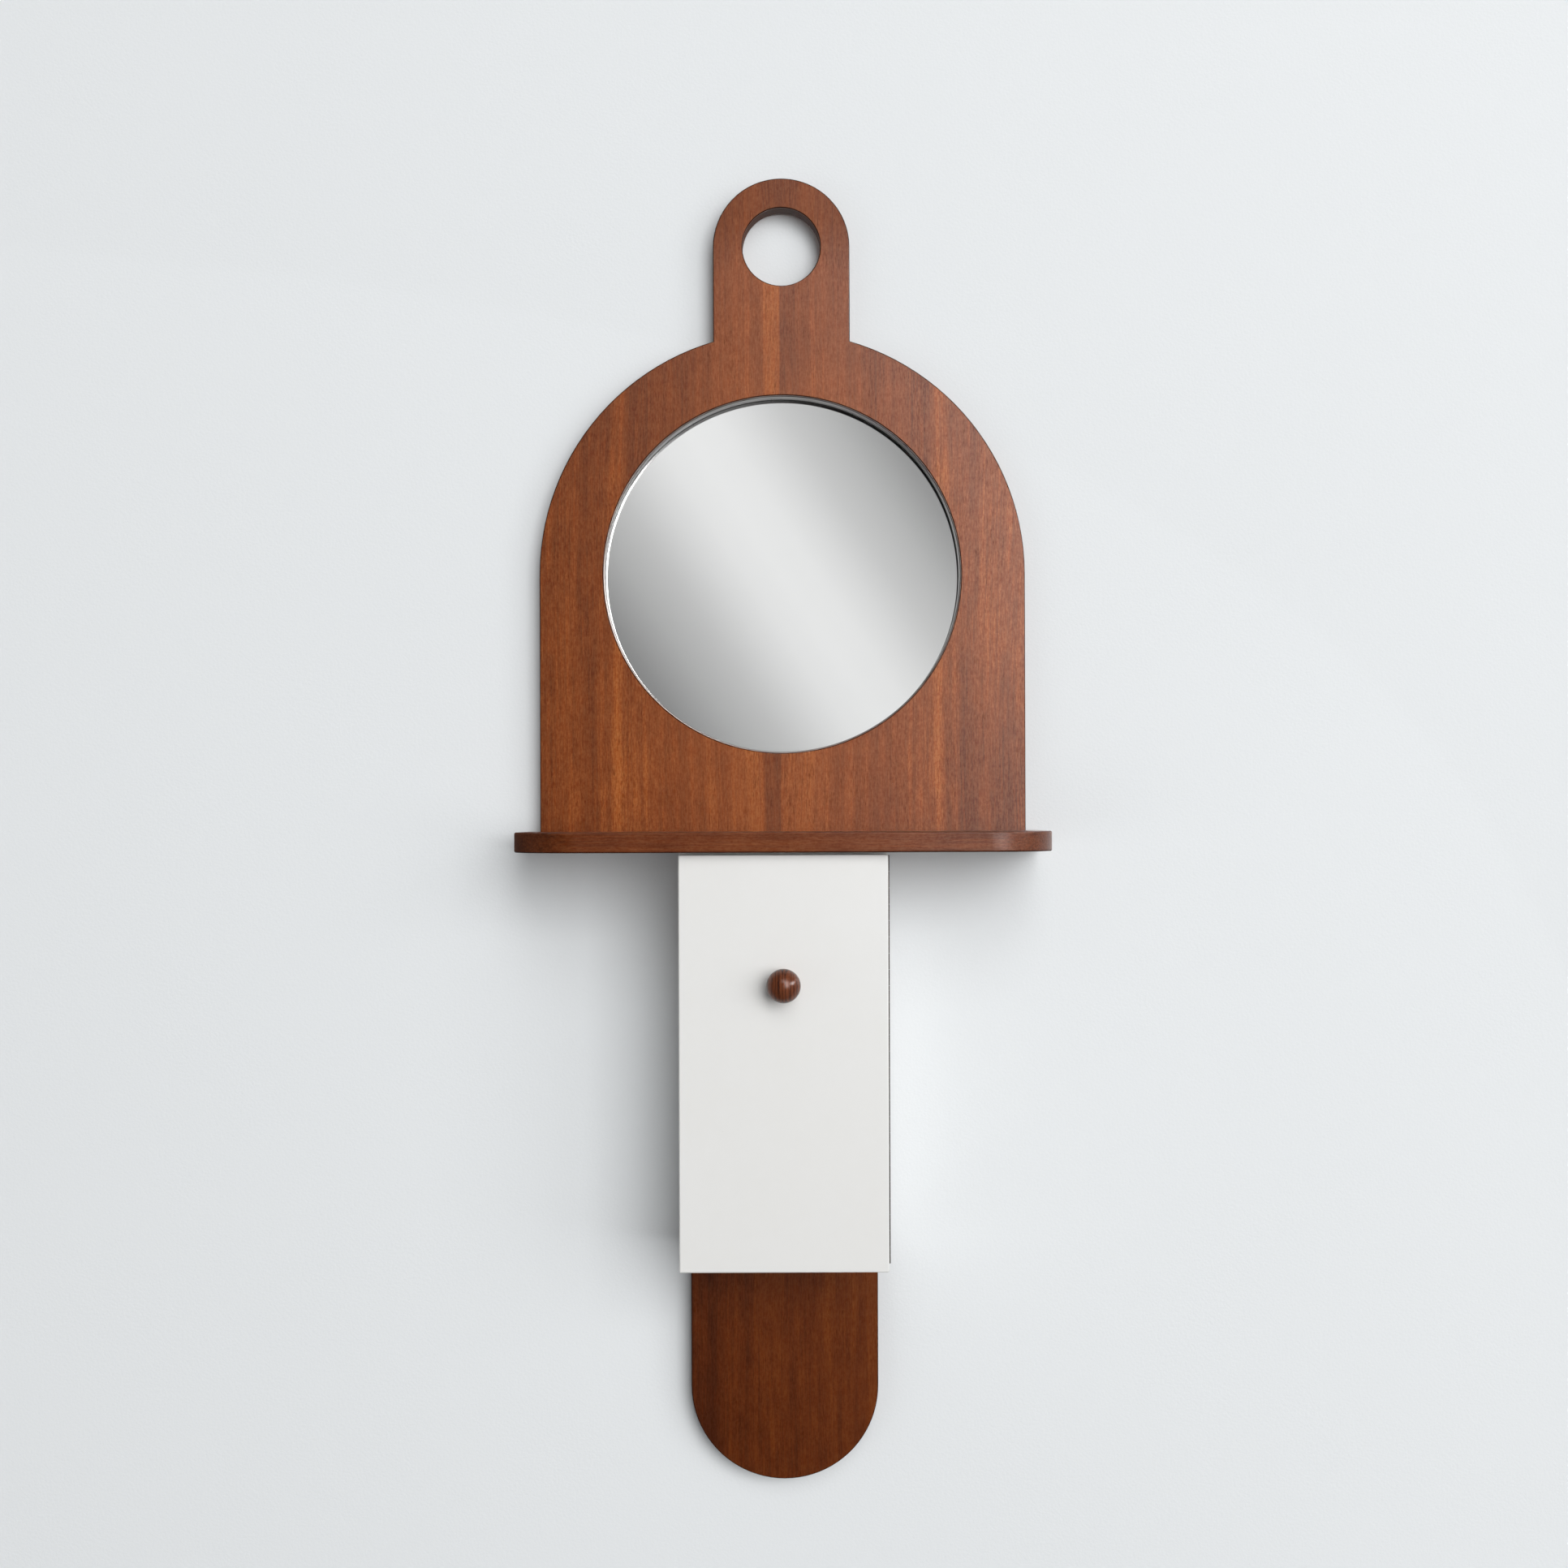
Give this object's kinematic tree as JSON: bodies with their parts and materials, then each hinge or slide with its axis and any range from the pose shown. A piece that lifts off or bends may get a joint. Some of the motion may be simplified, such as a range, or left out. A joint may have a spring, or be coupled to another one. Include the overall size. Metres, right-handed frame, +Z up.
{
  "type": "wall cabinet with mirror",
  "caption": "Wall-hung piece: a round mirror in an arched wood board with a hanging tongue, a rounded shelf, a small white cabinet with a hinged door, and a round-ended tail board.",
  "frame": {"origin": "middle of the shelf's rear edge, on the wall plane, at half the shelf's thickness", "axes": "+Z up, +Y into the wall, so the front faces -Y; +X to the viewer's right"},
  "size_m": [0.486, 0.1599, 1.219],
  "materials": {
    "panel_veneer": "satin lacquered reddish-brown veneer, upright ribbon grain",
    "shelf_veneer": "satin lacquered reddish-brown wood, level grain",
    "tail_veneer": "satin lacquered dark reddish-brown veneer, upright grain",
    "knob_wood": "satin dark striped wood",
    "white_lacquer": "satin white lacquer on board",
    "dowel_wood": "raw beech",
    "hardboard": "raw brown hardboard",
    "liner_metal": "bright satin",
    "mirror": "silvered glass",
    "zinc_steel": "zinc plated",
    "dark_hinge_metal": "dark bronze, satin",
    "felt": "dense grey felt",
    "catch_plastic": "moulded, fine texture",
    "magnet_ferrite": "pressed ferrite",
    "bumper_rubber": "soft clear-grey"
  },
  "bodies": {
    "frame": {"arch_panel": "panel_veneer", "shelf_board": "shelf_veneer", "tail_board": "tail_veneer", "cabinet_side_left": "white_lacquer", "cabinet_side_right": "white_lacquer", "cabinet_top": "white_lacquer", "cabinet_bottom": "white_lacquer", "cabinet_back": "white_lacquer", "inner_shelf": "white_lacquer", "panel_dowels": "dowel_wood", "tail_dowels": "dowel_wood", "cabinet_dowels": "dowel_wood", "mirror_backing_board": "hardboard", "mirror_clips": "zinc_steel", "mirror_clip_screws": "zinc_steel", "panel_screws": "zinc_steel", "tail_screws": "zinc_steel", "joining_plates": "zinc_steel", "joining_plate_screws": "zinc_steel", "hanger_plates": "zinc_steel", "hanger_screws": "zinc_steel", "cabinet_back_screws": "zinc_steel", "cabinet_top_screws": "zinc_steel", "shelf_pins": "zinc_steel", "catch_screws": "zinc_steel", "catch_poles": "zinc_steel", "hinge_leaf_frame": "dark_hinge_metal", "hinge_pin": "dark_hinge_metal", "hinge_screws_frame": "dark_hinge_metal", "mirror_liner_ring": "liner_metal", "mirror_glass": "mirror", "mirror_cushion": "felt", "wall_pads": "felt", "catch_body": "catch_plastic", "catch_magnet": "magnet_ferrite"},
    "door": {"door_panel": "white_lacquer", "door_knob": "knob_wood", "knob_screw": "zinc_steel", "knob_washer": "zinc_steel", "hinge_leaf_door": "dark_hinge_metal", "hinge_screws_door": "dark_hinge_metal", "strike_plate": "zinc_steel", "strike_screws": "zinc_steel", "door_bumpers": "bumper_rubber"}
  },
  "joints": [
    {"name": "door_hinge", "type": "hinge", "parent": "frame", "child": "door", "pos_m": [0.0933, -0.1102, -0.194], "axis": [0, 0, 1], "range_deg": [0, 180]}
  ]
}
